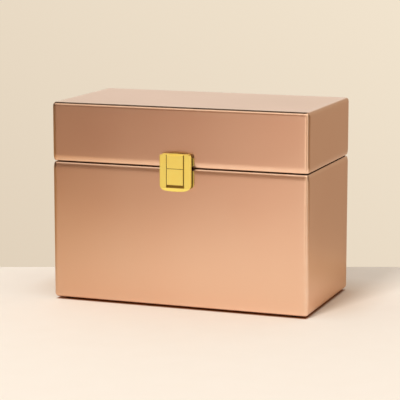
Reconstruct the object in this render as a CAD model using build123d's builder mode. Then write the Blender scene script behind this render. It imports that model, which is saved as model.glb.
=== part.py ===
"""Recipe box of folded, copper-plated steel sheet: hinged lid, two riveted back hinges and a hasp latch."""

import os

from build123d import *

# Driving dimensions of the whole box, in millimetres; the front faces -Y
box_width = 178.0
box_depth = 95.0
overall_height = 133.5
rim_height = 93.6
seam_gap = 0.8

# Folded sheet of the body and of the lid
sheet = 1.0
bend_inner_radius = 1.2
hem_height = 10.0
hem_corner_radius = 1.0
rim_round_share = 0.48
flange_width = 16.0
flange_corner_radius = 6.0
plate_clearance = 0.3

# Foot pads
foot_height = 1.5
foot_radius = 5.0
foot_inset = 9.5
foot_chamfer = 0.4

# Rivets of the hinges and of the latch
rivet_radius = 1.0
rivet_clearance = 0.05
rivet_head_radius = 1.6
rivet_head_height = 0.8
rivet_crown_share = 0.5
rivet_shoulder_shares = (0.85, 0.6)
rivet_tail_radius = 1.5
rivet_tail_height = 0.6

# Back hinges
hinge_length = 26.0
hinge_inset = 22.0
hinge_standoff = 0.1
leaf_thickness = 0.9
leaf_reach = 11.5
leaf_corner_radius = 1.5
knuckle_count = 5
knuckle_gap = 0.25
barrel_relief = 0.3
hinge_pin_radius = 1.0
hinge_pin_clearance = 0.05
hinge_pin_head_radius = 1.6
hinge_pin_head_height = 0.5
pin_chamfer_share = 0.5
hinge_rivet_inset = 5.0
hinge_rivet_reach = 6.5

# Latch, with its heights counted from the rim of the body
latch_width = 22.0
latch_rise = 10.2
latch_drop = 14.6
latch_sheet = 0.8
latch_bend_radius = 0.9
latch_standoff = 0.15
latch_pin_radius = 0.6
latch_pin_clearance = 0.05
latch_pin_head_radius = 1.0
latch_pin_head_height = 0.4
hasp_gap = 0.25
hasp_top_arch = 1.3
hasp_bottom_arch = 1.0
hasp_top_corner = 1.0
hasp_bottom_corner = 4.6
hasp_return_gap = 2.2
tab_width = 8.4
tab_setback = 0.4
panel_width = 11.6
panel_raise = 0.7
panel_draft = 20.0
panel_top_rise = 9.3
panel_end_drop = 10.6
split_rise = 0.2
split_width = 0.35
split_depth = 0.4
groove_width = 0.45
groove_depth = 0.45
slot_height = 1.8
slot_overhang = 0.5
lip_flare = 0.85
barrel_side_gap = 0.8
plate_overhang = 0.8
plate_corner_radius = 1.0
plate_edge_gap = 1.0
keeper_drop = 13.2
keeper_corner_radius = 3.6
latch_rivet_spacing = 13.4
keeper_rivet_drop = 6.0
hinge_plate_rivet_rise = 4.8
tongue_width = 7.0
tongue_root_drop = 4.6
tongue_tip_drop = 11.0
tongue_gap = 0.3
tongue_lance = 0.4

# Gap between pin heads or rivets and what they turn against, and how far cuts run past a face
head_gap = 0.1
overrun = 5.0

# Sizes that follow from the ones above
bend_radius = sheet + bend_inner_radius
hem_thickness = 2 * sheet
rim_round = rim_round_share * hem_thickness
lid_rim_height = rim_height + seam_gap
rivet_hole_radius = rivet_radius + rivet_clearance
hinge_grip = leaf_thickness + hem_thickness
latch_grip = latch_sheet + hem_thickness
knuckle_radius = hinge_pin_radius + hinge_pin_clearance + leaf_thickness
hinge_bore_radius = hinge_pin_radius + hinge_pin_clearance
hinge_reach = hinge_standoff + 2 * knuckle_radius
latch_knuckle_radius = latch_pin_radius + latch_pin_clearance + latch_sheet
latch_bore_radius = latch_pin_radius + latch_pin_clearance
latch_axis_out = latch_standoff + latch_knuckle_radius
hasp_back = latch_axis_out + latch_knuckle_radius + hasp_gap
hasp_front = hasp_back + latch_sheet
hasp_return_back = latch_sheet + hasp_return_gap
lip_reach = hasp_front + lip_flare
latch_reach = max(lip_reach, hasp_front + panel_raise)

# The part's origin is under the middle of everything, so the box itself sits a little off it
box_centre_y = (latch_reach - hinge_reach) / 2
front_y = box_centre_y - box_depth / 2
back_y = box_centre_y + box_depth / 2

hinge_axis_y = back_y + hinge_standoff + knuckle_radius
hinge_axis_z = rim_height + seam_gap / 2
hinge_centre_x = box_width / 2 - hinge_inset - hinge_length / 2
hinge_rivet_x = hinge_length / 2 - hinge_rivet_inset
latch_axis_y = front_y - latch_axis_out
latch_top_z = rim_height + latch_rise
latch_bottom_z = rim_height - latch_drop
latch_axis_z = latch_top_z - tab_setback - latch_knuckle_radius
slot_top_z = rim_height - panel_end_drop
slot_bottom_z = slot_top_z - slot_height
split_z = rim_height + split_rise
barrel_width = latch_width - 2 * (latch_sheet + barrel_side_gap)
plate_width = latch_width + 2 * plate_overhang


def on_front(x, z, out=0):
    """Place on the front face, looking outwards, a given distance in front of the sheet."""
    return Plane(origin=(x, front_y - out, z), x_dir=(1, 0, 0), z_dir=(0, -1, 0))


def on_back(x, z, out=0):
    """Place on the back face, looking outwards, a given distance behind the sheet."""
    return Plane(origin=(x, back_y + out, z), x_dir=(-1, 0, 0), z_dir=(0, 1, 0))


def hinge_rivet_places(centre_x, side, out=0):
    """The two rivet places of a hinge leaf: side is 1 on the lid and -1 on the body."""
    z = hinge_axis_z + side * hinge_rivet_reach
    return [on_back(centre_x + x, z, out) for x in (-hinge_rivet_x, hinge_rivet_x)]


def latch_rivet_places(z, out=0):
    """The two rivet places of a latch plate at the height z."""
    return [on_front(x, z, out) for x in (-latch_rivet_spacing / 2, latch_rivet_spacing / 2)]


keeper_rivet_z = rim_height - keeper_rivet_drop
hinge_plate_rivet_z = rim_height + hinge_plate_rivet_rise
hinge_centres = {"left": -hinge_centre_x, "right": hinge_centre_x}
pieces = []


def keep(part, label):
    """Name a finished piece and keep it for writing."""
    part.label = label
    pieces.append(part)


def hem_ring():
    """Ring of folded-back sheet against the inside of the walls, for the sketch in hand."""
    with Locations((0, box_centre_y)):
        RectangleRounded(box_width - sheet, box_depth - sheet, bend_radius - sheet / 2)
        RectangleRounded(
            box_width - 2 * hem_thickness,
            box_depth - 2 * hem_thickness,
            hem_corner_radius,
            mode=Mode.SUBTRACT,
        )


# Body: four walls from one strip, rim hemmed inwards, lower edge turned in as a flange
with BuildPart() as body_wrap:
    with BuildSketch(Plane.XY.offset(foot_height)):
        with Locations((0, box_centre_y)):
            RectangleRounded(box_width, box_depth, bend_radius)
    extrude(amount=rim_height - foot_height)
    fillet(body_wrap.faces().sort_by(Axis.Z)[0].edges(), bend_radius)
    offset(amount=-sheet, openings=body_wrap.faces().sort_by(Axis.Z)[-1])
    with BuildSketch(Plane.XY.offset(rim_height)):
        hem_ring()
    extrude(amount=-hem_height)
    fillet(body_wrap.faces().sort_by(Axis.Z)[-1].edges(), rim_round)
    with BuildSketch(Plane.XY.offset(foot_height)):
        with Locations((0, box_centre_y)):
            RectangleRounded(
                box_width - 2 * flange_width, box_depth - 2 * flange_width, flange_corner_radius
            )
    extrude(amount=overrun, both=True, mode=Mode.SUBTRACT)
    for centre_x in hinge_centres.values():
        with Locations(hinge_rivet_places(centre_x, -1)):
            Hole(rivet_hole_radius, depth=hem_thickness + overrun)
    with Locations(latch_rivet_places(keeper_rivet_z)):
        Hole(rivet_hole_radius, depth=hem_thickness + overrun)
keep(body_wrap.part, "body_wrap")

# Bottom panel: laid inside on the flange and spot welded to it
with BuildPart() as bottom_panel:
    with BuildSketch(Plane.XY.offset(foot_height + sheet)):
        with Locations((0, box_centre_y)):
            RectangleRounded(
                box_width - 2 * (bend_radius + plate_clearance),
                box_depth - 2 * (bend_radius + plate_clearance),
                bend_inner_radius,
            )
    extrude(amount=sheet)
keep(bottom_panel.part, "bottom_panel")

# Foot pads: one under each corner of the flange
for depth_word, depth_side in (("front", -1), ("back", 1)):
    for width_word, width_side in (("left", -1), ("right", 1)):
        foot_x = width_side * (box_width / 2 - foot_inset)
        foot_y = box_centre_y + depth_side * (box_depth / 2 - foot_inset)
        with BuildPart() as foot_pad:
            with BuildSketch(Plane.XY):
                with Locations((foot_x, foot_y)):
                    Circle(foot_radius)
            extrude(amount=foot_height)
            chamfer(foot_pad.edges().sort_by(Axis.Z)[0], foot_chamfer)
        keep(foot_pad.part, f"{depth_word}_{width_word}_foot")

# Lid: a folded tray with the same hem around its lower rim
with BuildPart() as lid_shell:
    with BuildSketch(Plane.XY.offset(lid_rim_height)):
        with Locations((0, box_centre_y)):
            RectangleRounded(box_width, box_depth, bend_radius)
    extrude(amount=overall_height - lid_rim_height)
    fillet(lid_shell.faces().sort_by(Axis.Z)[-1].edges(), bend_radius)
    offset(amount=-sheet, openings=lid_shell.faces().sort_by(Axis.Z)[0])
    with BuildSketch(Plane.XY.offset(lid_rim_height)):
        hem_ring()
    extrude(amount=hem_height)
    fillet(lid_shell.faces().sort_by(Axis.Z)[0].edges(), rim_round)
    for centre_x in hinge_centres.values():
        with Locations(hinge_rivet_places(centre_x, 1)):
            Hole(rivet_hole_radius, depth=hem_thickness + overrun)
    with Locations(latch_rivet_places(hinge_plate_rivet_z)):
        Hole(rivet_hole_radius, depth=hem_thickness + overrun)
keep(lid_shell.part, "lid_shell")


def rivet_pair(places, grip):
    """Low-headed rivets seated on the given places, through a stack of the given thickness."""
    shoulder_radius = rivet_shoulder_shares[0] * rivet_head_radius
    shoulder_height = rivet_shoulder_shares[1] * rivet_head_height
    with BuildPart() as rivets:
        for place in places:
            half = Plane(origin=place.origin, x_dir=place.x_dir, z_dir=place.y_dir)
            with BuildSketch(half):
                with BuildLine():
                    Polyline(
                        (0, -rivet_head_height),
                        (rivet_crown_share * rivet_head_radius, -rivet_head_height),
                        (shoulder_radius, -shoulder_height),
                        (rivet_head_radius, 0),
                        (rivet_radius, 0),
                        (rivet_radius, grip),
                        (rivet_tail_radius, grip),
                        (rivet_tail_radius, grip + rivet_tail_height),
                        (0, grip + rivet_tail_height),
                        close=True,
                    )
                make_face()
            revolve(axis=Axis(place.origin, place.z_dir))
    return rivets.part


def headed_pin(centre, length, radius, head_radius, head_height):
    """A pin along X with a low head peened on each end."""
    with BuildPart() as pin:
        with BuildSketch(Plane(origin=centre, x_dir=(1, 0, 0), z_dir=(0, 0, 1))):
            Rectangle(length, radius, align=(Align.CENTER, Align.MIN))
            for end in (-1, 1):
                with Locations((end * (length + head_height) / 2, 0)):
                    Rectangle(head_height, head_radius, align=(Align.CENTER, Align.MIN))
        revolve(axis=Axis(centre, (1, 0, 0)))
        rings = pin.edges().filter_by(GeomType.CIRCLE).group_by(Axis.X)
        outer_rings = [rings[end].sort_by(SortBy.RADIUS)[-1] for end in (0, -1)]
        chamfer(outer_rings, pin_chamfer_share * head_height)
    return pin.part


def hinge_leaf(centre_x, side, first_knuckle):
    """One riveted leaf and its rolled knuckles: side is 1 for the lid's leaf and -1 for the body's."""
    plate_near = knuckle_radius + barrel_relief
    knuckle_pitch = hinge_length / knuckle_count
    with BuildPart() as leaf:
        with BuildSketch(Plane.XZ.offset(-back_y)) as plate:
            with Locations((centre_x, hinge_axis_z + side * (plate_near + leaf_reach) / 2)):
                Rectangle(hinge_length, leaf_reach - plate_near)
            far_corners = plate.vertices().sort_by(Axis.Y)
            fillet(far_corners[-2:] if side > 0 else far_corners[:2], leaf_corner_radius)
        extrude(amount=-leaf_thickness)
        for index in range(first_knuckle, knuckle_count, 2):
            start_x = centre_x - hinge_length / 2 + index * knuckle_pitch + knuckle_gap / 2
            with BuildSketch(Plane.YZ.offset(start_x)):
                with Locations((back_y + leaf_thickness / 2, hinge_axis_z + side * leaf_reach / 4)):
                    Rectangle(leaf_thickness, leaf_reach / 2)
                with Locations((hinge_axis_y, hinge_axis_z)):
                    Circle(knuckle_radius)
                    Circle(hinge_bore_radius, mode=Mode.SUBTRACT)
            extrude(amount=knuckle_pitch - knuckle_gap)
        with Locations(hinge_rivet_places(centre_x, side, leaf_thickness)):
            Hole(rivet_hole_radius, depth=leaf_thickness + overrun)
    return leaf.part


# Back hinges: three knuckles on the body's leaf, two on the lid's, a pin and four rivets each
for hinge_word, centre_x in hinge_centres.items():
    keep(hinge_leaf(centre_x, -1, 0), f"{hinge_word}_hinge_body_leaf")
    keep(hinge_leaf(centre_x, 1, 1), f"{hinge_word}_hinge_lid_leaf")
    hinge_pin = headed_pin(
        (centre_x, hinge_axis_y, hinge_axis_z),
        hinge_length + 2 * head_gap,
        hinge_pin_radius,
        hinge_pin_head_radius,
        hinge_pin_head_height,
    )
    keep(hinge_pin, f"{hinge_word}_hinge_pin")
    for side_word, side in (("body", -1), ("lid", 1)):
        places = hinge_rivet_places(centre_x, side, leaf_thickness)
        keep(rivet_pair(places, hinge_grip), f"{hinge_word}_hinge_{side_word}_rivets")

# Latch plate on the lid: two rolled knuckles beside the place of the hasp's own
with BuildPart() as latch_hinge_plate:
    plate_low_z = lid_rim_height + plate_edge_gap
    shoulder_z = latch_axis_z - latch_pin_head_radius - head_gap
    knuckle_start_x = tab_width / 2 + knuckle_gap
    with BuildSketch(Plane.XZ.offset(-front_y)) as plate:
        with Locations((0, (plate_low_z + shoulder_z) / 2)):
            Rectangle(plate_width, shoulder_z - plate_low_z)
        fillet(plate.vertices(), plate_corner_radius)
        with Locations((0, (plate_low_z + latch_axis_z) / 2)):
            Rectangle(barrel_width, latch_axis_z - plate_low_z)
        with Locations((0, latch_axis_z)):
            Rectangle(
                2 * knuckle_start_x, 2 * (latch_knuckle_radius + barrel_relief), mode=Mode.SUBTRACT
            )
    extrude(amount=latch_sheet)
    for start_x in (-barrel_width / 2, knuckle_start_x):
        with BuildSketch(Plane.YZ.offset(start_x)):
            with Locations((latch_axis_y, latch_axis_z)):
                Circle(latch_knuckle_radius)
                Circle(latch_bore_radius, mode=Mode.SUBTRACT)
        extrude(amount=barrel_width / 2 - knuckle_start_x)
    with Locations(latch_rivet_places(hinge_plate_rivet_z, latch_sheet)):
        Hole(rivet_hole_radius, depth=latch_sheet + overrun)
keep(latch_hinge_plate.part, "latch_hinge_plate")
latch_lid_rivets = rivet_pair(latch_rivet_places(hinge_plate_rivet_z, latch_sheet), latch_grip)
keep(latch_lid_rivets, "latch_lid_rivets")

# Keeper plate on the body: a sprung tongue is lanced out of it behind the hasp's slot
with BuildPart() as latch_keeper:
    keeper_top_z = rim_height - plate_edge_gap
    keeper_low_z = rim_height - keeper_drop
    tongue_root_z = rim_height - tongue_root_drop
    tongue_tip_z = rim_height - tongue_tip_drop
    tongue_rise = hasp_back - tongue_gap - latch_sheet
    with BuildSketch(Plane.XZ.offset(-front_y)) as plate:
        with Locations((0, (keeper_top_z + keeper_low_z) / 2)):
            Rectangle(plate_width, keeper_top_z - keeper_low_z)
        fillet(plate.vertices().sort_by(Axis.Y)[-2:], plate_corner_radius)
        fillet(plate.vertices().sort_by(Axis.Y)[:2], keeper_corner_radius)
        with Locations((0, (tongue_root_z + tongue_tip_z - tongue_lance) / 2)):
            Rectangle(
                tongue_width + 2 * tongue_lance,
                tongue_root_z - tongue_tip_z + tongue_lance,
                mode=Mode.SUBTRACT,
            )
    extrude(amount=latch_sheet)
    with BuildSketch(Plane.YZ.offset(-tongue_width / 2)):
        with BuildLine():
            Polyline(
                (front_y, tongue_root_z + latch_sheet),
                (front_y, tongue_root_z),
                (front_y - tongue_rise, tongue_tip_z),
                (front_y - tongue_rise - latch_sheet, tongue_tip_z),
                (front_y - latch_sheet, tongue_root_z),
                (front_y - latch_sheet, tongue_root_z + latch_sheet),
                close=True,
            )
        make_face()
    extrude(amount=tongue_width)
    with Locations(latch_rivet_places(keeper_rivet_z, latch_sheet)):
        Hole(rivet_hole_radius, depth=latch_sheet + overrun)
keep(latch_keeper.part, "latch_keeper")
latch_keeper_rivets = rivet_pair(latch_rivet_places(keeper_rivet_z, latch_sheet), latch_grip)
keep(latch_keeper_rivets, "latch_keeper_rivets")

# Hasp: stamped, with rounded sides, a raised panel scored round, a catch slot and a flared finger lip
with BuildPart() as latch_hasp:
    with BuildSketch(Plane.XY.offset(slot_bottom_z)) as channel:
        with Locations((0, front_y - (hasp_front + hasp_return_back) / 2)):
            Rectangle(latch_width, hasp_front - hasp_return_back)
        fillet(channel.vertices().sort_by(Axis.Y)[:2], latch_bend_radius)
        with Locations((0, front_y - hasp_back / 2)):
            Rectangle(latch_width - 2 * latch_sheet, hasp_back, mode=Mode.SUBTRACT)
    extrude(amount=latch_top_z - slot_bottom_z)
    with BuildSketch(Plane.YZ.offset(-latch_width / 2)):
        with BuildLine():
            Polyline(
                (front_y - hasp_back, slot_top_z),
                (front_y - hasp_front, slot_top_z),
                (front_y - hasp_front, slot_bottom_z),
                (front_y - lip_reach, latch_bottom_z),
                (front_y - lip_reach + latch_sheet, latch_bottom_z),
                (front_y - hasp_back, slot_bottom_z),
                close=True,
            )
        make_face()
    extrude(amount=latch_width)
    with BuildSketch(Plane.XZ.offset(-front_y)) as shield:
        with BuildLine():
            top = ThreePointArc(
                (-latch_width / 2, latch_top_z - hasp_top_arch),
                (0, latch_top_z),
                (latch_width / 2, latch_top_z - hasp_top_arch),
            )
            bottom = ThreePointArc(
                (-latch_width / 2, latch_bottom_z + hasp_bottom_arch),
                (0, latch_bottom_z),
                (latch_width / 2, latch_bottom_z + hasp_bottom_arch),
            )
            Line(top @ 0, bottom @ 0)
            Line(top @ 1, bottom @ 1)
        make_face()
        fillet(shield.vertices().sort_by(Axis.Y)[-2:], hasp_top_corner)
        fillet(shield.vertices().sort_by(Axis.Y)[:2], hasp_bottom_corner)
    extrude(amount=latch_reach + overrun, mode=Mode.INTERSECT)
    panel_top_z = rim_height + panel_top_rise
    panel_height = panel_top_z - slot_top_z
    with BuildSketch(Plane.XZ.offset(hasp_front - front_y)):
        with Locations((0, (slot_top_z + panel_top_z) / 2)):
            Rectangle(panel_width, panel_height)
    extrude(amount=panel_raise, taper=panel_draft)
    with BuildSketch(Plane.XZ.offset(hasp_back - front_y)):
        with Locations((0, (slot_top_z + panel_top_z) / 2)):
            Rectangle(panel_width - 2 * latch_sheet, panel_height - 2 * latch_sheet)
    extrude(amount=panel_raise, mode=Mode.SUBTRACT)
    with BuildSketch(Plane.XZ.offset(hasp_front + panel_raise - front_y)):
        with Locations((0, split_z)):
            Rectangle(panel_width, split_width)
    extrude(amount=-split_depth, mode=Mode.SUBTRACT)
    with BuildSketch(Plane.XZ.offset(hasp_front - front_y)):
        for side in (-1, 1):
            with Locations((side * (panel_width + groove_width) / 2, (slot_top_z + panel_top_z) / 2)):
                Rectangle(groove_width, panel_height)
    extrude(amount=-groove_depth, mode=Mode.SUBTRACT)
    with BuildSketch(Plane.XZ.offset(-front_y)):
        with Locations((0, (slot_top_z + slot_bottom_z) / 2)):
            Rectangle(panel_width + 2 * slot_overhang, slot_height)
    extrude(amount=latch_reach + overrun, mode=Mode.SUBTRACT)
    with BuildSketch(Plane.YZ.offset(-tab_width / 2)):
        with Locations((front_y - (latch_axis_out + hasp_front) / 2, latch_axis_z + latch_knuckle_radius)):
            Rectangle(hasp_front - latch_axis_out, latch_sheet, align=(Align.CENTER, Align.MAX))
        with Locations((latch_axis_y, latch_axis_z)):
            Circle(latch_knuckle_radius)
            Circle(latch_bore_radius, mode=Mode.SUBTRACT)
    extrude(amount=tab_width)
keep(latch_hasp.part, "latch_hasp")

# Hasp pin: headed at both ends, held by the lid's plate
latch_pin = headed_pin(
    (0, latch_axis_y, latch_axis_z),
    barrel_width + 2 * head_gap,
    latch_pin_radius,
    latch_pin_head_radius,
    latch_pin_head_height,
)
keep(latch_pin, "latch_pin")

os.makedirs("parts", exist_ok=True)
for piece in pieces:
    export_step(piece, f"parts/{piece.label}.step")
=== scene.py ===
import math

import bmesh
import bpy
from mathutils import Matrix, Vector, noise
from mathutils.bvhtree import BVHTree


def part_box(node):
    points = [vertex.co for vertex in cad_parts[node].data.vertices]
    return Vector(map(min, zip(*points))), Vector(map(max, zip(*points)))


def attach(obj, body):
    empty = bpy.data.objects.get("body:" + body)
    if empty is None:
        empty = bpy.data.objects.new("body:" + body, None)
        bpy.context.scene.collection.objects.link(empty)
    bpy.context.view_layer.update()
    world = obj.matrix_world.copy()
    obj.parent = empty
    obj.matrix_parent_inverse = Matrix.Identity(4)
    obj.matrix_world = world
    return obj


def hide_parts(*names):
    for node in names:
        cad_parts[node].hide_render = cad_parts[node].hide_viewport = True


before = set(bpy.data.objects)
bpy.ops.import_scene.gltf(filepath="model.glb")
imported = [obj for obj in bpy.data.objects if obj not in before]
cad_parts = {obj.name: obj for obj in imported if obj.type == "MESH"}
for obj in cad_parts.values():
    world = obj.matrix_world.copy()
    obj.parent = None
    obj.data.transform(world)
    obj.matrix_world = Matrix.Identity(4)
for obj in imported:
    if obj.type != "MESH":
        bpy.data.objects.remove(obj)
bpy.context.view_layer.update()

# Body walls. One strip of 1 mm steel is folded round four corners, its lower edge turned in as a flange and
# its rim hemmed inwards, then copper plated and satin finished. The bends are squarish, as a press leaves
# them, the roll of the hem tapers off down the wall, and the pressed sheet is not quite flat.
body_low, body_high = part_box("body_wrap")
half_width = (body_high.x - body_low.x) / 2
half_depth = (body_high.y - body_low.y) / 2
box_centre_y = (body_high.y + body_low.y) / 2
sheet = 0.001
hem = 2 * sheet
hem_height = 0.010
corner_reach = 0.0032
corner_power = 3.0
fold_inset = 0.0022
fold_drop = 0.0028
fold_power = 2.3
least_bend = 0.0002
rim_taper = 0.0045
rim_inner_taper = 0.0015
roll_short = 0.00005  # the roll ends this far inside the solid's rim
flange_width = 0.016
flange_corner = 0.006
mesh_step = 0.004
bend_turns = (0, 1, 3, 6, 12, 20, 30, 45, 60, 70, 78, 84, 87, 89, 90)
ripple_height = 0.00004
ripple_length = 0.060
ripple_margin = 0.018
front_ripple_plane = 3
side_ripple_plane = 7
wall_band = 1.5 * hem
wear_width = 0.004
merge_distance = 1e-7
sharp_angle = math.radians(40)
tiny = 1e-12


def hex_colour(code):
    """An sRGB hex value as linear red, green, blue and alpha."""
    channels = [int(code[i:i + 2], 16) / 255 for i in (1, 3, 5)]
    return [c / 12.92 if c <= 0.04045 else ((c + 0.055) / 1.055) ** 2.4 for c in channels] + [1.0]


def add_node(tree, kind, inputs=None, **settings):
    """Adds a node, with its settings, and gives each named or numbered input a value or a link."""
    node = tree.nodes.new(kind)
    for key, value in settings.items():
        setattr(node, key, value)
    for key, value in (inputs or {}).items():
        if isinstance(value, bpy.types.NodeSocket):
            tree.links.new(value, node.inputs[key])
        else:
            node.inputs[key].default_value = value
    return node


def new_material(name):
    """An empty node material and its tree, ready for a surface shader."""
    material = bpy.data.materials.new(name)
    material.use_nodes = True
    material.node_tree.nodes.clear()
    return material, material.node_tree


def satin_copper():
    """Copper plate over bead-blasted steel: a warm metal that blurs what it mirrors. Handling leaves faint
    cloudy patches on it, and rubbing makes its edges a little paler and smoother."""
    material, tree = new_material("satin_copper_plate")
    place = add_node(tree, "ShaderNodeTexCoord").outputs["Object"]
    cloud_size = 0.050
    rub_size = 0.006
    grain_size = 0.0007  # beads leave dents of about 0.1 mm, drawn coarser so that they show
    least_rough = 0.30
    most_rough = 0.35
    rubbed_smoother = -0.03
    clouds = add_node(tree, "ShaderNodeTexNoise", {"Vector": place, "Scale": 1 / cloud_size, "Detail": 1.0})
    grain = add_node(tree, "ShaderNodeTexNoise", {"Vector": place, "Scale": 1 / grain_size, "Detail": 1.0})
    rubs = add_node(tree, "ShaderNodeTexNoise", {"Vector": place, "Scale": 1 / rub_size, "Detail": 1.0})
    edge = add_node(tree, "ShaderNodeAttribute", attribute_name="edge").outputs["Fac"]
    wear = add_node(tree, "ShaderNodeMath", {0: edge, 1: rubs.outputs["Fac"]}, operation="MULTIPLY")
    tone = add_node(tree, "ShaderNodeMix", {
        0: clouds.outputs["Fac"], 6: hex_colour("#FCD0B3"), 7: hex_colour("#FFD9BD"),
    }, data_type="RGBA")
    worn = add_node(tree, "ShaderNodeMix", {
        0: wear.outputs[0], 6: tone.outputs[2], 7: hex_colour("#FFE2CD"),
    }, data_type="RGBA")
    rough = add_node(tree, "ShaderNodeMapRange", {
        0: clouds.outputs["Fac"], 1: 0.0, 2: 1.0, 3: least_rough, 4: most_rough,
    }, clamp=False)
    smoothed = add_node(tree, "ShaderNodeMath", {
        0: wear.outputs[0], 1: rubbed_smoother, 2: rough.outputs[0],
    }, operation="MULTIPLY_ADD")
    bump = add_node(tree, "ShaderNodeBump", {
        "Height": grain.outputs["Fac"], "Strength": 0.02, "Distance": grain_size / 10,
    })
    shader = add_node(tree, "ShaderNodeBsdfPrincipled", {
        "Base Color": worn.outputs[2], "Roughness": smoothed.outputs[0], "Normal": bump.outputs[0],
        "Metallic": 1.0,
    })
    add_node(tree, "ShaderNodeOutputMaterial", {"Surface": shader.outputs[0]})
    return material


def bend(centre, first, second, power=2):
    """Points of a bend in a section, from the face towards first to the face towards second, closest
    together where the bend leaves each face. A power of 2 is an ellipse, a higher one is squarer."""
    reach, rise = math.hypot(*first), math.hypot(*second)
    points = []
    for degrees in bend_turns:
        lean = (reach * max(math.cos(math.radians(degrees)), 0.0)) ** (1 / (power - 1))
        lift = (rise * max(math.sin(math.radians(degrees)), 0.0)) ** (1 / (power - 1))
        size = max((lean ** power + lift ** power) ** (1 / power), tiny)
        points.append(tuple(c + (f * lean + s * lift) / size for c, f, s in zip(centre, first, second)))
    return points


def run(start, end, count):
    """Points that divide a straight stretch into equal steps, without its ends."""
    return [tuple(s + (e - s) * i / count for s, e in zip(start, end)) for i in range(1, count)]


def ring(inset, z):
    """Points round the box at one height, a given distance inside its outer face."""
    half_x, half_y = half_width - inset, half_depth - inset
    if inset < corner_reach:
        corner = max(corner_reach - inset, least_bend)
    else:
        share = min((inset - corner_reach) / (flange_width - corner_reach), 1.0)
        corner = least_bend + share * (flange_corner - least_bend)
    corner = min(corner, half_y)
    counts = (round(2 * half_depth / mesh_step), round(2 * half_width / mesh_step))
    points = []
    for turn, (sx, sy) in enumerate(((1, -1), (1, 1), (-1, 1), (-1, -1))):
        centre = (sx * (half_x - corner), box_centre_y + sy * (half_y - corner))
        faces = [(0, sy * corner), (sx * corner, 0)]
        if turn % 2:
            faces.reverse()
        turned = bend(centre, *faces, corner_power)
        if points:
            points += run(points[-1], turned[0], counts[(turn + 1) % 2])
        points += turned
    points += run(points[-1], points[0], counts[1])
    return [Vector((x, y, z)) for x, y in points]


def ripple(point, low_z, high_z):
    """Shallow unevenness of a folded wall, always inwards, fading out towards its bends and rim."""
    def fade(distance):
        share = min(max(distance / ripple_margin, 0.0), 1.0)
        return share * share * (3 - 2 * share)
    upright = fade(point.z - low_z) * fade(high_z - point.z)
    side_y = point.y - box_centre_y
    if abs(side_y) > half_depth - wall_band:
        plane = math.copysign(front_ripple_plane, side_y)
        spot = Vector((point.x / ripple_length, plane, point.z / ripple_length))
        dent = ripple_height * (1 + noise.noise(spot)) * upright * fade(half_width - abs(point.x))
        point.y -= math.copysign(dent, side_y)
    elif abs(point.x) > half_width - wall_band:
        plane = math.copysign(side_ripple_plane, point.x)
        spot = Vector((plane, side_y / ripple_length, point.z / ripple_length))
        dent = ripple_height * (1 + noise.noise(spot)) * upright * fade(half_depth - abs(side_y))
        point.x -= math.copysign(dent, point.x)


def new_piece(name, mesh):
    """An object at the origin for a finished mesh."""
    piece = bpy.data.objects.new(name, mesh)
    bpy.context.collection.objects.link(piece)
    return piece


def swept_sheet(name, section, closed, fold_z, rim_z):
    """A folded sheet: its section carried round the box as one smooth mesh, with its nearness to the folds
    and the rim kept as the attribute edge."""
    low_z, high_z = min(fold_z, rim_z), max(fold_z, rim_z)
    shape = bmesh.new()
    rings = []
    for inset, z in section:
        points = ring(inset, z)
        for point in points:
            ripple(point, low_z, high_z)
        rings.append([shape.verts.new(point) for point in points])
    for first, second in zip(rings, rings[1:] + rings[:1] if closed else rings[1:]):
        for i in range(len(first)):
            j = (i + 1) % len(first)
            shape.faces.new((first[i], first[j], second[j], second[i]))
    bmesh.ops.remove_doubles(shape, verts=shape.verts, dist=merge_distance)
    bmesh.ops.recalc_face_normals(shape, faces=shape.faces)
    for face in shape.faces:
        face.smooth = True
    mesh = bpy.data.meshes.new(name)
    shape.to_mesh(mesh)
    shape.free()
    edge = mesh.attributes.new("edge", "FLOAT", "POINT")
    for vertex, value in zip(mesh.vertices, edge.data):
        to_faces = sorted((half_width - abs(vertex.co.x), half_depth - abs(vertex.co.y - box_centre_y),
                           abs(vertex.co.z - fold_z)))
        to_edge = min(to_faces[1], abs(vertex.co.z - rim_z))
        value.value = max(0.0, 1 - to_edge / wear_width)
    mesh.set_sharp_from_angle(angle=sharp_angle)
    return new_piece(name, mesh)


def folded_section(fold_z, rim_z, flange_end):
    """Section of the sheet: from the flange or the top, round the fold, along the wall to the rim, and back
    inside along the hem."""
    up = math.copysign(1, rim_z - fold_z)
    inner_fold_z = fold_z + up * sheet
    hem_end_z = rim_z - up * hem_height
    bend_centre = (fold_inset, fold_z + up * fold_drop)
    inner_inset = sheet - fold_inset
    inner_drop = sheet - fold_drop
    outer_bend = bend(bend_centre, (0, -up * fold_drop), (-fold_inset, 0), fold_power)
    inner_bend = bend(bend_centre, (inner_inset, 0), (0, up * inner_drop), fold_power)
    roll_z = rim_z - up * roll_short
    outer_rim = bend((hem / 2, roll_z - up * rim_taper), (-hem / 2, 0), (0, up * rim_taper))
    inner_rim = bend((hem / 2, roll_z - up * rim_inner_taper), (0, up * rim_inner_taper), (hem / 2, 0))
    stretches = (
        [(flange_end, fold_z)], outer_bend, outer_rim + inner_rim[1:],
        [(hem, hem_end_z)], [(sheet, hem_end_z)], inner_bend, [(flange_end, inner_fold_z)],
    )
    line = []
    for stretch in stretches:
        if line:
            line += run(line[-1], stretch[0], max(1, round(math.dist(line[-1], stretch[0]) / mesh_step)))
        line += stretch
    return line


copper = satin_copper()
body_section = folded_section(body_low.z, body_high.z, flange_width)
body_walls = swept_sheet("body_walls", body_section, True, body_low.z, body_high.z)
body_walls.data.materials.append(copper)
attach(body_walls, "body")
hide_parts("body_wrap")

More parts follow.
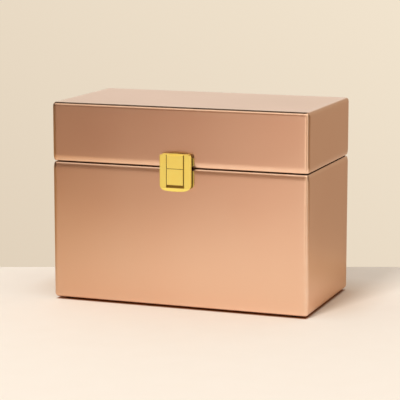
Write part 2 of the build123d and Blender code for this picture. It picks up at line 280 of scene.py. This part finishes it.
# Bottom panel. A plain cut sheet of the same plated steel, dropped inside on the flange and spot welded.
# Its solid is already flat and true, so it only takes the finish.
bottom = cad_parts["bottom_panel"]
bottom.data.materials.clear()
bottom.data.materials.append(copper)

# Foot pads. Four discs of black rubber, moulded with a rounded lower edge and a shallow cup underneath, and
# stuck to the corners of the flange, where they show as a dark gap under the box.
pad_low, pad_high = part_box("front_left_foot")
far_pad_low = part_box("back_right_foot")[0]
pad_radius = (pad_high.x - pad_low.x) / 2
pad_height = pad_high.z
pad_round = 0.0004
pad_cup_depth = 0.0003
pad_cup_radius = 0.6 * pad_radius
pad_segments = 40


def black_rubber():
    """Matt moulded rubber with a fine pebbled skin that breaks up its faint sheen."""
    material, tree = new_material("black_moulded_rubber")
    place = add_node(tree, "ShaderNodeTexCoord").outputs["Object"]
    pebble_size = 0.0005
    pebbles = add_node(tree, "ShaderNodeTexNoise", {
        "Vector": place, "Scale": 1 / pebble_size, "Detail": 3.0,
    })
    tone = add_node(tree, "ShaderNodeMix", {
        0: pebbles.outputs["Fac"], 6: hex_colour("#1D1A18"), 7: hex_colour("#2A2623"),
    }, data_type="RGBA")
    bump = add_node(tree, "ShaderNodeBump", {
        "Height": pebbles.outputs["Fac"], "Strength": 0.3, "Distance": pebble_size / 4,
    })
    shader = add_node(tree, "ShaderNodeBsdfPrincipled", {
        "Base Color": tone.outputs[2], "Roughness": 0.72, "Normal": bump.outputs[0],
    })
    add_node(tree, "ShaderNodeOutputMaterial", {"Surface": shader.outputs[0]})
    return material


def lathed(name, profile, segments):
    """A turned mesh from a profile of radius and height, closed at both ends on its axis."""
    shape = bmesh.new()
    rings = []
    for radius, z in profile:
        if radius == 0:
            rings.append([shape.verts.new((0, 0, z))] * segments)
        else:
            angles = [2 * math.pi * i / segments for i in range(segments)]
            rings.append([shape.verts.new((radius * math.cos(a), radius * math.sin(a), z)) for a in angles])
    for first, second in zip(rings, rings[1:]):
        for i in range(segments):
            j = (i + 1) % segments
            corners = list(dict.fromkeys((first[i], first[j], second[j], second[i])))
            shape.faces.new(corners).smooth = True
    bmesh.ops.recalc_face_normals(shape, faces=shape.faces)
    mesh = bpy.data.meshes.new(name)
    shape.to_mesh(mesh)
    shape.free()
    mesh.set_sharp_from_angle(angle=sharp_angle)
    return mesh


def growing_tree(name, sizes):
    """A Geometry Nodes tree that takes a mesh and one named number for each size, and its inputs."""
    tree = bpy.data.node_groups.new(name, "GeometryNodeTree")
    tree.interface.new_socket("Geometry", in_out="OUTPUT", socket_type="NodeSocketGeometry")
    tree.interface.new_socket("Geometry", in_out="INPUT", socket_type="NodeSocketGeometry")
    for size in sizes:
        tree.interface.new_socket(size, in_out="INPUT", socket_type="NodeSocketFloat")
    return tree, add_node(tree, "NodeGroupInput").outputs


def grow(piece, tree, sizes):
    """Runs a tree on a piece with the sizes given and keeps the result as a plain mesh."""
    modifier = piece.modifiers.new(tree.name, "NODES")
    modifier.node_group = tree
    for item in tree.interface.items_tree:
        if item.in_out == "INPUT" and item.name in sizes:
            modifier[item.identifier] = sizes[item.name]
    depsgraph = bpy.context.evaluated_depsgraph_get()
    plain = bpy.data.meshes.new_from_object(piece.evaluated_get(depsgraph))
    piece.modifiers.clear()
    piece.data = plain


pad_profile = [(0, pad_height), (pad_radius, pad_height)]
pad_profile += bend((pad_radius - pad_round, pad_round), (pad_round, 0), (0, -pad_round))
pad_profile += [(pad_cup_radius, 0), (pad_cup_radius - pad_cup_depth, pad_cup_depth / 2)]
pad_profile += [(pad_cup_radius / 2, pad_cup_depth), (0, pad_cup_depth)]
foot_pads = new_piece("foot_pads", lathed("foot_pad", pad_profile, pad_segments))
pad_tree, pad_inputs = growing_tree("pads_at_corners", ("Spacing across", "Spacing deep", "Middle"))
pad_grid = add_node(pad_tree, "GeometryNodeMeshGrid", {
    "Size X": pad_inputs["Spacing across"], "Size Y": pad_inputs["Spacing deep"],
    "Vertices X": 2, "Vertices Y": 2,
})
pad_shift = add_node(pad_tree, "ShaderNodeCombineXYZ", {"Y": pad_inputs["Middle"]})
pad_places = add_node(pad_tree, "GeometryNodeSetPosition", {
    "Geometry": pad_grid.outputs["Mesh"], "Offset": pad_shift.outputs[0],
})
pad_set = add_node(pad_tree, "GeometryNodeInstanceOnPoints", {
    "Points": pad_places.outputs[0], "Instance": pad_inputs["Geometry"],
})
pad_real = add_node(pad_tree, "GeometryNodeRealizeInstances", {0: pad_set.outputs[0]})
pad_skin = add_node(pad_tree, "GeometryNodeSetMaterial", {
    "Geometry": pad_real.outputs[0], "Material": black_rubber(),
})
add_node(pad_tree, "NodeGroupOutput", {0: pad_skin.outputs[0]})
grow(foot_pads, pad_tree, {
    "Spacing across": far_pad_low.x - pad_low.x, "Spacing deep": far_pad_low.y - pad_low.y,
    "Middle": box_centre_y,
})
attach(foot_pads, "body")
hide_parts("front_left_foot", "front_right_foot", "back_left_foot", "back_right_foot")

# Lid. A tray folded from the same plated sheet, hemmed round its lower rim like the body, so the two rolled
# rims face each other across the seam.
lid_low, lid_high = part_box("lid_shell")
lid_section = folded_section(lid_high.z, lid_low.z, half_depth)
lid_tray = swept_sheet("lid_tray", lid_section, False, lid_high.z, lid_low.z)
lid_tray.data.materials.append(copper)
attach(lid_tray, "lid")
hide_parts("lid_shell")

# Back hinges. Two leaves of thin brass each, stamped, rolled round a headed pin, polished and lacquered
# gold, with the slightly rounded edges that stamping and polishing leave.
stamped_edge = 0.00012
stamped_segments = 3
stamped_angle = math.radians(30)
solid_merge = 2e-6
flat_angle = math.radians(1)
flat_weight = 80
parting_distance = 1e-6
recess_reach = 0.004
recess_rays = 24
recess_lift = 5e-5
hinge_bodies = {"body_leaf": "body", "lid_leaf": "lid", "pin": "body"}


def gold_lacquer():
    """Gold-coloured lacquer over polished brass: bright, yellow and even from every side, with the slight
    waviness and fine soft marks that the polishing wheel leaves. Faces that the solids close by cover, in
    scored lines, slots and covered sides, are darkened to brown as painted shade."""
    material, tree = new_material("gold_lacquered_brass")
    place = add_node(tree, "ShaderNodeTexCoord").outputs["Object"]
    wheel_size = 0.0012  # a polishing wheel leaves marks of about 0.1 mm, drawn coarser so that they show
    wave_size = 0.006
    shade_from = 0.2
    shade_to = 0.5
    least_rough = 0.29
    most_rough = 0.37
    marks = add_node(tree, "ShaderNodeTexNoise", {"Vector": place, "Scale": 1 / wheel_size, "Detail": 1.0})
    waves = add_node(tree, "ShaderNodeTexNoise", {"Vector": place, "Scale": 1 / wave_size, "Detail": 1.0})
    tone = add_node(tree, "ShaderNodeMix", {
        0: waves.outputs["Fac"], 6: hex_colour("#FFE06C"), 7: hex_colour("#FFE87A"),
    }, data_type="RGBA")
    recess = add_node(tree, "ShaderNodeAttribute", attribute_name="recess").outputs["Fac"]
    recess_shade_share = add_node(tree, "ShaderNodeMapRange", {
        0: recess, 1: shade_from, 2: shade_to,
    }, interpolation_type="SMOOTHSTEP")
    # Painted shade: the recess share mixes the gold towards dark brown #6A3E06.
    recess_shaded = add_node(tree, "ShaderNodeMix", {
        0: recess_shade_share.outputs[0], 6: tone.outputs[2], 7: hex_colour("#6A3E06"),
    }, data_type="RGBA")
    rough = add_node(tree, "ShaderNodeMapRange", {
        0: marks.outputs["Fac"], 1: 0.0, 2: 1.0, 3: least_rough, 4: most_rough,
    }, clamp=False)
    bump = add_node(tree, "ShaderNodeBump", {
        "Height": waves.outputs["Fac"], "Strength": 0.05, "Distance": wave_size / 20,
    })
    shader = add_node(tree, "ShaderNodeBsdfPrincipled", {
        "Base Color": recess_shaded.outputs[2], "Roughness": rough.outputs[0], "Normal": bump.outputs[0],
        "Metallic": 0.45,  # the lacquer's own colour shows about as much as the metal under it
    })
    add_node(tree, "ShaderNodeOutputMaterial", {"Surface": shader.outputs[0]})
    return material


solid_points, solid_faces = [], []
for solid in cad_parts.values():
    first = len(solid_points)
    solid_points += [vertex.co.copy() for vertex in solid.data.vertices]
    solid_faces += [[first + i for i in face.vertices] for face in solid.data.polygons]
solids = BVHTree.FromPolygons(solid_points, solid_faces)


def mark_recesses(mesh, most):
    """Keeps, as the attribute recess, how much of the view out from each face the solids cover close by,
    and no more than most. The gold material paints this as shade."""
    rays = []
    for i in range(recess_rays):
        share = (i + 0.5) / recess_rays
        turn = i * math.pi * (3 - math.sqrt(5))
        rays.append(Vector((math.sqrt(share) * math.cos(turn), math.sqrt(share) * math.sin(turn),
                            math.sqrt(1 - share))))
    covered = [0.0] * len(mesh.polygons)
    areas = [tiny] * len(mesh.polygons)
    mesh.calc_loop_triangles()
    for triangle in mesh.loop_triangles:
        outward = mesh.polygons[triangle.polygon_index].normal
        upright = outward.to_track_quat("Z", "Y")
        start = Vector(triangle.center) + outward * recess_lift
        hits = sum(solids.ray_cast(start, upright @ ray, recess_reach)[0] is not None for ray in rays)
        covered[triangle.polygon_index] += triangle.area * hits / recess_rays
        areas[triangle.polygon_index] += triangle.area
    recess = mesh.attributes.new("recess", "FLOAT", "FACE")
    recess.data.foreach_set("value", [min(c / a, most) for c, a in zip(covered, areas)])


def stamped(name, node, body, cover_edges=(), most_recess=1.0):
    """A fitting of the same shape as its solid, with rounded edges, smooth faces and painted shade in its
    recesses. Its faces are parted where the edges of a cover lie over them, at the given distances across
    the box."""
    shape = bmesh.new()
    shape.from_mesh(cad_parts[node].data)
    bmesh.ops.remove_doubles(shape, verts=shape.verts, dist=solid_merge)
    bmesh.ops.dissolve_limit(shape, angle_limit=flat_angle, verts=shape.verts, edges=shape.edges)
    for x in cover_edges:
        whole_shape = shape.verts[:] + shape.edges[:] + shape.faces[:]
        bmesh.ops.bisect_plane(shape, geom=whole_shape, dist=parting_distance,
                               plane_co=(x, 0, 0), plane_no=(1, 0, 0))
    for face in shape.faces:
        face.smooth = True
    mesh = bpy.data.meshes.new(name)
    shape.to_mesh(mesh)
    shape.free()
    if "custom_normal" in mesh.attributes:
        mesh.attributes.remove(mesh.attributes["custom_normal"])
    mesh.materials.append(gold)
    piece = new_piece(name, mesh)
    rounding = piece.modifiers.new("edges", "BEVEL")
    rounding.limit_method = "ANGLE"
    rounding.angle_limit = stamped_angle
    rounding.width = stamped_edge
    rounding.segments = stamped_segments
    flattening = piece.modifiers.new("flat_faces", "WEIGHTED_NORMAL")
    flattening.weight = flat_weight
    depsgraph = bpy.context.evaluated_depsgraph_get()
    plain = bpy.data.meshes.new_from_object(piece.evaluated_get(depsgraph))
    piece.modifiers.clear()
    piece.data = plain
    mark_recesses(plain, most_recess)
    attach(piece, body)
    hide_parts(node)


gold = gold_lacquer()
for hinge in ("left_hinge", "right_hinge"):
    for part, body in hinge_bodies.items():
        stamped(f"{hinge}_{part}_stamped", f"{hinge}_{part}", body)

# Latch. A brass plate with rolled knuckles riveted to the lid, a keeper with a sprung tongue riveted to the
# body, and over both, on its pin, the stamped hasp: an arched cover with a raised panel scored across, a
# slot for the tongue and a flared lip. Under the hasp the two plates take only part of the painted recess
# shade, and their faces are parted at the hasp's edges so that the painted shade stops there.
hasp_low, hasp_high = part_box("latch_hasp")
hasp_edges = (hasp_low.x, hasp_high.x)
plate_recess = 0.38
stamped("latch_hinge_plate_stamped", "latch_hinge_plate", "lid", hasp_edges, plate_recess)
stamped("latch_keeper_stamped", "latch_keeper", "body", hasp_edges, plate_recess)
stamped("latch_hasp_stamped", "latch_hasp", "hasp")
stamped("latch_pin_stamped", "latch_pin", "lid")

# Rivets. Small domed brass rivets, lacquered like the fittings, two through each hinge leaf and latch plate
# and the hem behind it, with low rounded tails set inside the box.
rivet_head_radius = 0.0016
rivet_head_height = 0.0008
rivet_shank_radius = 0.0010
rivet_tail_radius = 0.0015
rivet_tail_height = 0.0006
rivet_segments = 24
rivet_rings = 16
rivet_sizes = {
    "Head radius": rivet_head_radius, "Head height": rivet_head_height, "Shank radius": rivet_shank_radius,
    "Tail radius": rivet_tail_radius, "Tail height": rivet_tail_height,
}
rivet_nodes = {
    "body": ("left_hinge_body_rivets", "right_hinge_body_rivets", "latch_keeper_rivets"),
    "lid": ("left_hinge_lid_rivets", "right_hinge_lid_rivets", "latch_lid_rivets"),
}
rivet_tree, rivet_inputs = growing_tree("rivets_on_points", rivet_sizes)
outward = add_node(rivet_tree, "GeometryNodeInputNamedAttribute", {
    "Name": "outward",
}, data_type="FLOAT_VECTOR")
grip = add_node(rivet_tree, "GeometryNodeInputNamedAttribute", {"Name": "grip"}, data_type="FLOAT")
facing = add_node(rivet_tree, "FunctionNodeAlignRotationToVector", {"Vector": outward.outputs[0]}, axis="Z")
inward = add_node(rivet_tree, "ShaderNodeVectorMath", {
    0: outward.outputs[0], 1: (-1, -1, -1),
}, operation="MULTIPLY")
tail_facing = add_node(rivet_tree, "FunctionNodeAlignRotationToVector", {
    "Vector": inward.outputs[0],
}, axis="Z")
through = add_node(rivet_tree, "ShaderNodeVectorMath", {
    0: inward.outputs[0], "Scale": grip.outputs[0],
}, operation="SCALE")
tail_points = add_node(rivet_tree, "GeometryNodeSetPosition", {
    "Geometry": rivet_inputs["Geometry"], "Offset": through.outputs[0],
})
dome = add_node(rivet_tree, "GeometryNodeMeshUVSphere", {
    "Segments": rivet_segments, "Rings": rivet_rings, "Radius": 1.0,
})
dome_place = add_node(rivet_tree, "GeometryNodeInputPosition")
dome_axes = add_node(rivet_tree, "ShaderNodeSeparateXYZ", {0: dome_place.outputs[0]})
dome_top = add_node(rivet_tree, "ShaderNodeMath", {0: dome_axes.outputs["Z"], 1: 0.0}, operation="MAXIMUM")
dome_point = add_node(rivet_tree, "ShaderNodeCombineXYZ", {
    "X": dome_axes.outputs["X"], "Y": dome_axes.outputs["Y"], "Z": dome_top.outputs[0],
})
half_dome = add_node(rivet_tree, "GeometryNodeSetPosition", {
    "Geometry": dome.outputs["Mesh"], "Position": dome_point.outputs[0],
})
head_scale = add_node(rivet_tree, "ShaderNodeCombineXYZ", {
    "X": rivet_inputs["Head radius"], "Y": rivet_inputs["Head radius"], "Z": rivet_inputs["Head height"],
})
tail_scale = add_node(rivet_tree, "ShaderNodeCombineXYZ", {
    "X": rivet_inputs["Tail radius"], "Y": rivet_inputs["Tail radius"], "Z": rivet_inputs["Tail height"],
})
shank_scale = add_node(rivet_tree, "ShaderNodeCombineXYZ", {
    "X": rivet_inputs["Shank radius"], "Y": rivet_inputs["Shank radius"], "Z": grip.outputs[0],
})
shank = add_node(rivet_tree, "GeometryNodeMeshCylinder", {
    "Vertices": rivet_segments, "Radius": 1.0, "Depth": 1.0,
})
shank_lift = add_node(rivet_tree, "GeometryNodeTransform", {
    "Geometry": shank.outputs["Mesh"], "Translation": (0, 0, 0.5),
})
heads = add_node(rivet_tree, "GeometryNodeInstanceOnPoints", {
    "Points": rivet_inputs["Geometry"], "Instance": half_dome.outputs[0], "Rotation": facing.outputs[0],
    "Scale": head_scale.outputs[0],
})
shanks = add_node(rivet_tree, "GeometryNodeInstanceOnPoints", {
    "Points": tail_points.outputs[0], "Instance": shank_lift.outputs[0], "Rotation": facing.outputs[0],
    "Scale": shank_scale.outputs[0],
})
tails = add_node(rivet_tree, "GeometryNodeInstanceOnPoints", {
    "Points": tail_points.outputs[0], "Instance": half_dome.outputs[0], "Rotation": tail_facing.outputs[0],
    "Scale": tail_scale.outputs[0],
})
rivet_set = add_node(rivet_tree, "GeometryNodeJoinGeometry")
for rivet_part in (heads, shanks, tails):
    rivet_tree.links.new(rivet_part.outputs[0], rivet_set.inputs[0])
rivet_real = add_node(rivet_tree, "GeometryNodeRealizeInstances", {0: rivet_set.outputs[0]})
rivet_smooth = add_node(rivet_tree, "GeometryNodeSetShadeSmooth", {0: rivet_real.outputs[0]})
rivet_skin = add_node(rivet_tree, "GeometryNodeSetMaterial", {
    "Geometry": rivet_smooth.outputs[0], "Material": gold,
})
add_node(rivet_tree, "NodeGroupOutput", {0: rivet_skin.outputs[0]})

for body, nodes in rivet_nodes.items():
    places, directions, grips = [], [], []
    for node in nodes:
        low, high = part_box(node)
        side = 1 if low.y > box_centre_y else -1
        seat_y = high.y - rivet_head_height if side > 0 else low.y + rivet_head_height
        for x in (low.x + rivet_head_radius, high.x - rivet_head_radius):
            places.append((x, seat_y, (low.z + high.z) / 2))
            directions.append((0, side, 0))
            grips.append(high.y - low.y - rivet_head_height - rivet_tail_height)
    rivet_points = bpy.data.meshes.new("rivet_points")
    rivet_points.from_pydata(places, [], [])
    rivet_points.attributes.new("outward", "FLOAT_VECTOR", "POINT").data.foreach_set(
        "vector", [c for direction in directions for c in direction])
    rivet_points.attributes.new("grip", "FLOAT", "POINT").data.foreach_set("value", grips)
    rivets = new_piece(f"{body}_rivets", rivet_points)
    grow(rivets, rivet_tree, rivet_sizes)
    rivets.data.set_sharp_from_angle(angle=sharp_angle)
    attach(rivets, body)
    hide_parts(*nodes)

# Table. A board painted matt cream, whose back edge runs square to the view a little behind the box. In the
# metal's mirror image it carries painted shade outside a painted pool of light and behind the box. Beside
# the box it carries a painted warm shade for the box's shadow and the copper's bounce, and under the box a
# painted brown shadow.
camera_turn = math.radians(20.183)
table_back = 0.089
table_front = 0.30
table_half_width = 1.2
table_thickness = 0.03
pool_centre = (0.16, -0.22, 0)
pool_inner = 0.20
pool_outer = 0.44
pool_back = 0.0
pool_fade = 0.085
pool_back_share = 0.72
side_shade_centre = (0, 0.02, 0)
side_shade_reach = 0.035
side_shade_half_length = 0.025
side_shade_fade = 0.04
side_shade_seen = 0.45
under_soft = 0.002
view_axis = Vector((-math.sin(camera_turn), math.cos(camera_turn), 0))
side_axis = Vector((math.cos(camera_turn), math.sin(camera_turn), 0))
box_centre = Vector((0, box_centre_y, 0))


def painted_board():
    """Matt cream paint with faint roller marks and hardly any sheen. Its mirror image carries painted shade
    outside the pool of light and behind the box, and it carries a painted warm shade beside the box and a
    painted brown shadow under it."""
    material, tree = new_material("cream_painted_board")
    place = add_node(tree, "ShaderNodeTexCoord").outputs["Object"]
    roller_size = 0.02
    marks = add_node(tree, "ShaderNodeTexNoise", {
        "Vector": place, "Scale": 1 / roller_size, "Detail": 2.0,
    })
    tone = add_node(tree, "ShaderNodeMix", {
        0: marks.outputs["Fac"], 6: hex_colour("#F8EDE0"), 7: hex_colour("#FAF0E4"),
    }, data_type="RGBA")
    # Painted reflection shade: for glossy rays the board dims to brown outside the pool and behind the box.
    away = add_node(tree, "ShaderNodeVectorMath", {0: place, 1: pool_centre}, operation="DISTANCE")
    dim = add_node(tree, "ShaderNodeMapRange", {
        0: away.outputs["Value"], 1: pool_inner, 2: pool_outer, 3: 0.0, 4: 1.0,
    })
    along = add_node(tree, "ShaderNodeSeparateXYZ", {0: place})
    behind_shade = add_node(tree, "ShaderNodeMapRange", {
        0: along.outputs["Y"], 1: pool_back, 2: pool_back + pool_fade, 3: 0.0, 4: pool_back_share,
    })
    beyond = add_node(tree, "ShaderNodeMath", {
        0: dim.outputs[0], 1: behind_shade.outputs[0],
    }, operation="MAXIMUM")
    rays = add_node(tree, "ShaderNodeLightPath")
    painted_reflection_dim = add_node(tree, "ShaderNodeMath", {
        0: beyond.outputs[0], 1: rays.outputs["Is Glossy Ray"],
    }, operation="MULTIPLY")
    pool_shaded = add_node(tree, "ShaderNodeMix", {
        0: painted_reflection_dim.outputs[0], 6: tone.outputs[2], 7: hex_colour("#B28C54"),
    }, data_type="RGBA")
    # Painted shade: a warm, darker tint beside the box's ends for its shadow and the copper's bounce.
    from_side_shade = add_node(tree, "ShaderNodeVectorMath", {0: place, 1: side_shade_centre}, operation="SUBTRACT")
    side_shade_span = add_node(tree, "ShaderNodeVectorMath", {0: from_side_shade.outputs[0]}, operation="ABSOLUTE")
    side_shade_axes = add_node(tree, "ShaderNodeSeparateXYZ", {0: side_shade_span.outputs[0]})
    beside = add_node(tree, "ShaderNodeMapRange", {
        0: side_shade_axes.outputs["X"], 1: half_width, 2: half_width + side_shade_reach, 3: 1.0, 4: 0.0,
    })
    at_side = add_node(tree, "ShaderNodeMapRange", {
        0: side_shade_axes.outputs["Y"], 1: side_shade_half_length, 2: side_shade_half_length + side_shade_fade, 3: 1.0, 4: 0.0,
    })
    shown = add_node(tree, "ShaderNodeMapRange", {0: rays.outputs["Is Glossy Ray"], 3: side_shade_seen, 4: 1.0})
    near = add_node(tree, "ShaderNodeMath", {
        0: beside.outputs[0], 1: at_side.outputs[0],
    }, operation="MULTIPLY")
    painted_side_shade = add_node(tree, "ShaderNodeMath", {0: near.outputs[0], 1: shown.outputs[0]}, operation="MULTIPLY")
    side_shaded = add_node(tree, "ShaderNodeMix", {
        0: painted_side_shade.outputs[0], 6: pool_shaded.outputs[2], 7: hex_colour("#D0AE88"),
    }, data_type="RGBA")
    # Painted shadow: the board is dark brown #A0602C under the box's outline.
    from_middle = add_node(tree, "ShaderNodeVectorMath", {0: place, 1: box_centre}, operation="SUBTRACT")
    middle_span = add_node(tree, "ShaderNodeVectorMath", {0: from_middle.outputs[0]}, operation="ABSOLUTE")
    middle_axes = add_node(tree, "ShaderNodeSeparateXYZ", {0: middle_span.outputs[0]})
    under_across = add_node(tree, "ShaderNodeMapRange", {
        0: middle_axes.outputs["X"], 1: half_width - under_soft, 2: half_width, 3: 1.0, 4: 0.0,
    })
    under_deep = add_node(tree, "ShaderNodeMapRange", {
        0: middle_axes.outputs["Y"], 1: half_depth - under_soft, 2: half_depth, 3: 1.0, 4: 0.0,
    })
    painted_under_shadow = add_node(tree, "ShaderNodeMath", {
        0: under_across.outputs[0], 1: under_deep.outputs[0],
    }, operation="MULTIPLY")
    covered = add_node(tree, "ShaderNodeMix", {
        0: painted_under_shadow.outputs[0], 6: side_shaded.outputs[2], 7: hex_colour("#A0602C"),
    }, data_type="RGBA")
    shader = add_node(tree, "ShaderNodeBsdfPrincipled", {"Base Color": covered.outputs[2], "Roughness": 0.8})
    add_node(tree, "ShaderNodeOutputMaterial", {"Surface": shader.outputs[0]})
    return material


table_mesh = bpy.data.meshes.new("table")
table_corners = [box_centre + view_axis * v + side_axis * s + Vector((0, 0, z))
                 for z in (0, -table_thickness)
                 for v, s in ((table_back, -table_half_width), (-table_front, -table_half_width),
                              (-table_front, table_half_width), (table_back, table_half_width))]
table_faces = [(0, 1, 2, 3), (7, 6, 5, 4), (0, 4, 5, 1), (1, 5, 6, 2), (2, 6, 7, 3), (3, 7, 4, 0)]
table_mesh.from_pydata(table_corners, [], table_faces)
table = new_piece("table", table_mesh)
table.data.materials.append(painted_board())

# Room. Plain cream walls behind the box, a dim room in front of it and bright soft light above the front,
# as the satin metal mirrors them, with one dark beam overhead. Each band of the room has its colours and
# light levels by bearing, in degrees from the front. Camera rays see the cream wall alone, with painted
# light that makes it lighter towards the top and the right.
room_bands = {
    "floor": (
        (-180, "#EADBC6", 1.0), (-140, "#EADBC6", 1.0), (-100, "#7A6048", 0.8), (-60, "#27160A", 1.0),
        (-26, "#27160A", 1.0), (-18, "#A84A20", 1.0), (-9, "#FFF8EC", 2.0), (-4, "#FFF8EC", 2.0),
        (4, "#957659", 1.0), (24, "#957659", 1.0), (34, "#FFF0DC", 1.2), (50, "#FFF0DC", 1.2),
        (64, "#5A4331", 0.6), (135, "#6A5038", 0.8), (159, "#A68668", 0.95), (180, "#EADBC6", 1.0),
    ),
    "horizon": (
        (-180, "#D6C8B8", 1.0), (-172, "#F1EEE6", 1.15), (-130, "#F1EEE6", 1.1), (-90, "#4A3424", 0.8),
        (-40, "#27160A", 1.0), (-27, "#3A2414", 1.0), (-16, "#9A6A44", 1.0), (-8, "#B08A66", 1.0),
        (14, "#E1CEB3", 0.9), (40, "#E1CEB3", 1.0), (64, "#5A4331", 0.6), (115, "#8A7058", 0.8),
        (135, "#C8B090", 1.0), (155, "#B8A088", 0.95), (174, "#B8A088", 0.95), (180, "#D6C8B8", 1.0),
    ),
    "ceiling": (
        (-180, "#A89888", 0.8), (-60, "#A89888", 0.8), (-42, "#CFB094", 1.1), (-24, "#FFF4E6", 1.7),
        (40, "#FFF4E6", 1.7), (80, "#A89888", 0.8), (180, "#A89888", 0.8),
    ),
}
band_edges = {"horizon": (-6, 2), "ceiling": (22, 38), "overhead": (50, 62)}
beam_x = -0.34
beam_half_width = 0.20
beam_soft = 0.12
beam_front_end = (-0.52, -0.34)
beam_low_end = (0.32, 0.55)
daylight_heights = (-0.1, 0.5)
daylight_levels = (0.35, 0.735)
wall_rise_edges = (-13, -3)
wall_right_edges = (-0.45, -0.23)
world = bpy.data.worlds.new("studio")
bpy.context.scene.world = world
world.use_nodes = True
room = world.node_tree
room.nodes.clear()
look = add_node(room, "ShaderNodeSeparateXYZ", {
    0: add_node(room, "ShaderNodeTexCoord").outputs["Generated"],
})
ahead = add_node(room, "ShaderNodeMath", {0: look.outputs["Y"], 1: -1.0}, operation="MULTIPLY")
turn = add_node(room, "ShaderNodeMath", {0: look.outputs["X"], 1: ahead.outputs[0]}, operation="ARCTAN2")
round_room = add_node(room, "ShaderNodeMapRange", {0: turn.outputs[0], 1: -math.pi, 2: math.pi})
band_colours = {"overhead": hex_colour("#C8B8A4")}
for band, stops in room_bands.items():
    ramp = add_node(room, "ShaderNodeValToRGB", {"Fac": round_room.outputs[0]})
    marks = ramp.color_ramp.elements
    while len(marks) < len(stops):
        marks.new(1.0)
    for mark, (bearing, code, level) in zip(marks, stops):
        mark.position = (bearing + 180) / 360
        mark.color = [level * c for c in hex_colour(code)[:3]] + [1.0]
    band_colours[band] = ramp.outputs["Color"]
lit_room = band_colours["floor"]
for band, (low_edge, high_edge) in band_edges.items():
    rise = add_node(room, "ShaderNodeMapRange", {
        0: look.outputs["Z"], 1: math.sin(math.radians(low_edge)), 2: math.sin(math.radians(high_edge)),
    }, interpolation_type="SMOOTHSTEP")
    joined = add_node(room, "ShaderNodeMix", {
        0: rise.outputs[0], 6: lit_room, 7: band_colours[band],
    }, data_type="RGBA")
    lit_room = joined.outputs[2]
off_beam = add_node(room, "ShaderNodeMath", {0: look.outputs["X"], 1: beam_x}, operation="SUBTRACT")
beam_span = add_node(room, "ShaderNodeMath", {0: off_beam.outputs[0]}, operation="ABSOLUTE")
beam_shade = add_node(room, "ShaderNodeMapRange", {
    0: beam_span.outputs[0], 1: beam_half_width, 2: beam_half_width + beam_soft, 3: 1.0, 4: 0.0,
})
beam_front = add_node(room, "ShaderNodeMapRange", {
    0: look.outputs["Y"], 1: beam_front_end[0], 2: beam_front_end[1],
})
beam_height = add_node(room, "ShaderNodeMapRange", {
    0: look.outputs["Z"], 1: beam_low_end[0], 2: beam_low_end[1],
})
beam_length = add_node(room, "ShaderNodeMath", {
    0: beam_front.outputs[0], 1: beam_height.outputs[0],
}, operation="MULTIPLY")
beam = add_node(room, "ShaderNodeMath", {
    0: beam_shade.outputs[0], 1: beam_length.outputs[0],
}, operation="MULTIPLY")
mirrored = add_node(room, "ShaderNodeMix", {
    0: beam.outputs[0], 6: lit_room, 7: hex_colour("#120A05"),
}, data_type="RGBA")
paths = add_node(room, "ShaderNodeLightPath")
daylight = add_node(room, "ShaderNodeMapRange", {
    0: look.outputs["Z"], 1: daylight_heights[0], 2: daylight_heights[1],
    3: daylight_levels[0], 4: daylight_levels[1],
})
ambient = add_node(room, "ShaderNodeBackground", {
    "Color": hex_colour("#FFFAF3"), "Strength": daylight.outputs[0],
})
reflected = add_node(room, "ShaderNodeBackground", {"Color": mirrored.outputs[2], "Strength": 1.0})
# Painted light: the wall seen by camera rays is lighter towards the top and the right.
low_edge, high_edge = (math.sin(math.radians(degrees)) for degrees in wall_rise_edges)
wall_rise = add_node(room, "ShaderNodeMapRange", {0: look.outputs["Z"], 1: low_edge, 2: high_edge})
wall_right = add_node(room, "ShaderNodeMapRange", {
    0: look.outputs["X"], 1: wall_right_edges[0], 2: wall_right_edges[1],
})
wall_light = add_node(room, "ShaderNodeMath", {
    0: wall_rise.outputs[0], 1: wall_right.outputs[0],
}, operation="ADD")
wall_level = add_node(room, "ShaderNodeMath", {0: wall_light.outputs[0], 1: 0.5}, operation="MULTIPLY")
wall = add_node(room, "ShaderNodeMix", {
    0: wall_level.outputs[0], 6: hex_colour("#E0D0BA"), 7: hex_colour("#F2E4CE"),
}, data_type="RGBA")
backdrop = add_node(room, "ShaderNodeBackground", {"Color": wall.outputs[2], "Strength": 1.0})
glossy = add_node(room, "ShaderNodeMixShader", {
    0: paths.outputs["Is Glossy Ray"], 1: ambient.outputs[0], 2: reflected.outputs[0],
})
seen = add_node(room, "ShaderNodeMixShader", {
    0: paths.outputs["Is Camera Ray"], 1: glossy.outputs[0], 2: backdrop.outputs[0],
})
add_node(room, "ShaderNodeOutputWorld", {"Surface": seen.outputs[0]})

# Key lamp. One soft box, up in front of the box and a little to its left, aimed at the table by its right
# front corner. It lights the table and casts the shadow; the metal mirrors the room's own bright ceiling.
key_bearing = math.radians(-11.5)
key_height = math.radians(40)
key_distance = 8.0
key_size = 1.6
key_power = 362.0
key_aim = Vector((half_width, box_centre_y - half_depth, 0))
key_light = bpy.data.lights.new("key_lamp", "AREA")
key_light.size = key_size
key_light.energy = key_power
key_lamp = bpy.data.objects.new("key_lamp", key_light)
key_lamp.location = key_aim + key_distance * Vector((
    math.sin(key_bearing) * math.cos(key_height), -math.cos(key_bearing) * math.cos(key_height),
    math.sin(key_height)))
key_lamp.rotation_euler = (key_aim - key_lamp.location).to_track_quat("-Z", "Y").to_euler()
key_lamp.visible_glossy = False
bpy.context.collection.objects.link(key_lamp)

# Camera. A long lens from the front, right and a little above, fitted to the box's corners in the picture.
# The Standard view shows the colours as they are set.
camera_tilt = math.radians(9.714)
camera_right = 0.4022
camera_back = 1.09885
camera_height = 0.2654
camera_data = bpy.data.cameras.new("camera")
camera_data.sensor_width = 36.0
camera_data.lens = 157.7
camera = bpy.data.objects.new("camera", camera_data)
camera.location = (camera_right, box_centre_y - camera_back, camera_height)
camera.rotation_euler = (math.radians(90) - camera_tilt, 0, camera_turn)
bpy.context.collection.objects.link(camera)
bpy.context.scene.camera = camera
bpy.context.scene.view_settings.view_transform = "Standard"
